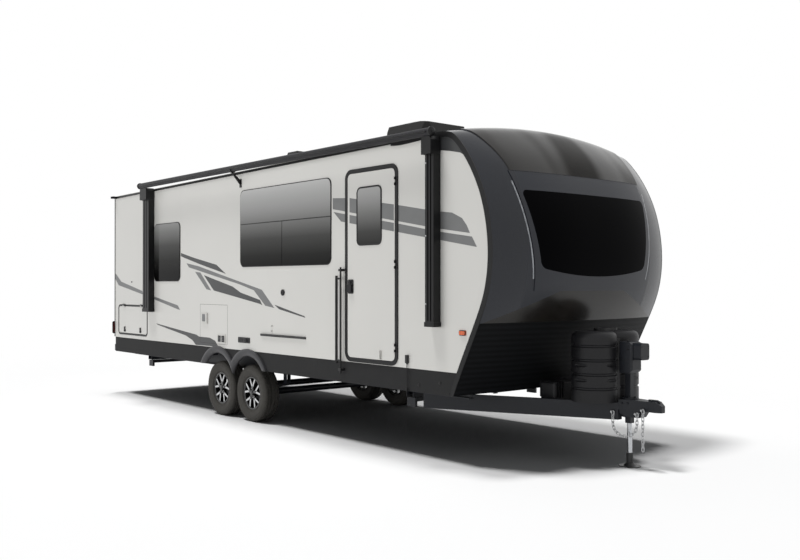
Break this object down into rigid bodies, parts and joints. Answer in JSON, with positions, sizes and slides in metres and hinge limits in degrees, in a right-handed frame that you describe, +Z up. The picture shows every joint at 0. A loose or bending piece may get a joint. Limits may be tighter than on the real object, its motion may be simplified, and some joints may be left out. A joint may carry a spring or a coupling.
{
  "type": "travel caravan",
  "caption": "Towed travel caravan with a tandem axle, rounded front cap, A-frame tongue with jack, side door, side awning and roof units.",
  "frame": {"origin": "on the ground below the middle of the overall box, on the trailer's centre line", "axes": "+X forward to the coupler, +Y to the trailer's left, +Z up"},
  "size_m": [8.575, 2.6666, 3.3577],
  "materials": {
    "wall_paint": "satin laminated panel",
    "roof_membrane": "matt membrane",
    "cap_paint": "metallic gloss coat",
    "guard": "textured black",
    "screen_glass": "black tinted glass",
    "window_glass": "tinted glass",
    "black_trim": "satin black",
    "black_metal": "black paint",
    "charcoal_metal": "charcoal paint",
    "floor_board": "board with black underside",
    "black_plastic": "moulded black",
    "alloy": "black with machined faces",
    "tyre": "rubber",
    "zinc": "zinc plated",
    "lamp_white": "clear lens",
    "lamp_amber": "amber lens",
    "lamp_red": "red lens",
    "awning_cloth": "black roll"
  },
  "bodies": {
    "trailer": {"air_conditioner": "black_plastic", "arch_trims": "black_trim", "awning_arms": "black_metal", "awning_roller": "awning_cloth", "axles": "black_metal", "battery_box": "black_plastic", "bumper": "black_metal", "cap_lamps": "lamp_white", "cap_trim": "black_trim", "chassis_rails": "black_metal", "coupler": "black_metal", "cross_members": "black_metal", "door_frame": "black_metal", "floor": "floor_board", "front_cap": "cap_paint", "front_guard": "guard", "gas_cover": "black_plastic", "gutter_spouts": "black_trim", "hatch_frames": "black_trim", "jack_tube": "black_metal", "leaf_springs": "black_metal", "roof": "roof_membrane", "safety_chains": "zinc", "side_lamps": "lamp_amber", "skirts": "charcoal_metal", "stabiliser_beams": "black_metal", "tail_lamps": "lamp_red", "tongue_rails": "black_metal", "vent_collar": "black_plastic", "wall_fittings": "black_plastic", "wall_left": "wall_paint", "wall_rear": "wall_paint", "wall_right": "wall_paint", "window_frames": "black_trim", "window_panes": "window_glass", "windshield": "screen_glass"},
    "entry_door": {"entry_door": "wall_paint", "door_window_frame": "black_trim", "door_pane": "window_glass", "door_latch": "black_plastic"},
    "hatch_right": {"hatch_right": "wall_paint"},
    "hatch_left": {"hatch_left": "wall_paint"},
    "grab_handle": {"grab_handle": "black_metal"},
    "jack_leg": {"jack_leg": "zinc"},
    "vent_lid": {"vent_lid": "black_plastic"},
    "wheel_front_left": {"tyre_front_left": "tyre", "rim_front_left": "alloy"},
    "stabiliser_front_left": {"stabiliser_front_left": "black_metal"},
    "wheel_front_right": {"tyre_front_right": "tyre", "rim_front_right": "alloy"},
    "stabiliser_front_right": {"stabiliser_front_right": "black_metal"},
    "wheel_rear_left": {"tyre_rear_left": "tyre", "rim_rear_left": "alloy"},
    "stabiliser_rear_left": {"stabiliser_rear_left": "black_metal"},
    "wheel_rear_right": {"tyre_rear_right": "tyre", "rim_rear_right": "alloy"},
    "stabiliser_rear_right": {"stabiliser_rear_right": "black_metal"}
  },
  "joints": [
    {"name": "wheel_front_left_turn", "type": "hinge", "parent": "trailer", "child": "wheel_front_left", "pos_m": [-0.434, 1.0885, 0.33], "axis": [0, 1, 0], "continuous": true},
    {"name": "wheel_front_right_turn", "type": "hinge", "parent": "trailer", "child": "wheel_front_right", "pos_m": [-0.434, -1.0885, 0.33], "axis": [0, 1, 0], "continuous": true},
    {"name": "wheel_rear_left_turn", "type": "hinge", "parent": "trailer", "child": "wheel_rear_left", "pos_m": [-1.137, 1.0885, 0.33], "axis": [0, 1, 0], "continuous": true},
    {"name": "wheel_rear_right_turn", "type": "hinge", "parent": "trailer", "child": "wheel_rear_right", "pos_m": [-1.137, -1.0885, 0.33], "axis": [0, 1, 0], "continuous": true},
    {"name": "stabiliser_front_left_fold", "type": "hinge", "parent": "trailer", "child": "stabiliser_front_left", "pos_m": [2.05, 0.25, 0.472], "axis": [-1, 0, 0], "range_deg": [0, 40]},
    {"name": "stabiliser_front_right_fold", "type": "hinge", "parent": "trailer", "child": "stabiliser_front_right", "pos_m": [2.05, -0.25, 0.472], "axis": [1, 0, 0], "range_deg": [0, 40]},
    {"name": "stabiliser_rear_left_fold", "type": "hinge", "parent": "trailer", "child": "stabiliser_rear_left", "pos_m": [-3.7, 0.25, 0.472], "axis": [-1, 0, 0], "range_deg": [0, 40]},
    {"name": "stabiliser_rear_right_fold", "type": "hinge", "parent": "trailer", "child": "stabiliser_rear_right", "pos_m": [-3.7, -0.25, 0.472], "axis": [1, 0, 0], "range_deg": [0, 40]},
    {"name": "entry_door_swing", "type": "hinge", "parent": "trailer", "child": "entry_door", "pos_m": [2.222, -1.24, 1.78], "axis": [0, 0, 1], "range_deg": [0, 150]},
    {"name": "hatch_right_lift", "type": "hinge", "parent": "trailer", "child": "hatch_right", "pos_m": [-3.5775, -1.233, 1.288], "axis": [-1, 0, 0], "range_deg": [0, 110]},
    {"name": "hatch_left_lift", "type": "hinge", "parent": "trailer", "child": "hatch_left", "pos_m": [-3.5775, 1.233, 1.288], "axis": [1, 0, 0], "range_deg": [0, 110]},
    {"name": "grab_handle_swing", "type": "hinge", "parent": "trailer", "child": "grab_handle", "pos_m": [1.405, -1.258, 1.25], "axis": [0, 0, 1], "range_deg": [0, 90]},
    {"name": "jack_extend", "type": "slide", "parent": "trailer", "child": "jack_leg", "axis": [0, 0, -1], "range_m": [-0.255, 0.2]},
    {"name": "vent_lid_lift", "type": "hinge", "parent": "trailer", "child": "vent_lid", "pos_m": [-1.367, 0, 3.0708], "axis": [0, -1, 0], "range_deg": [0, 60]}
  ]
}
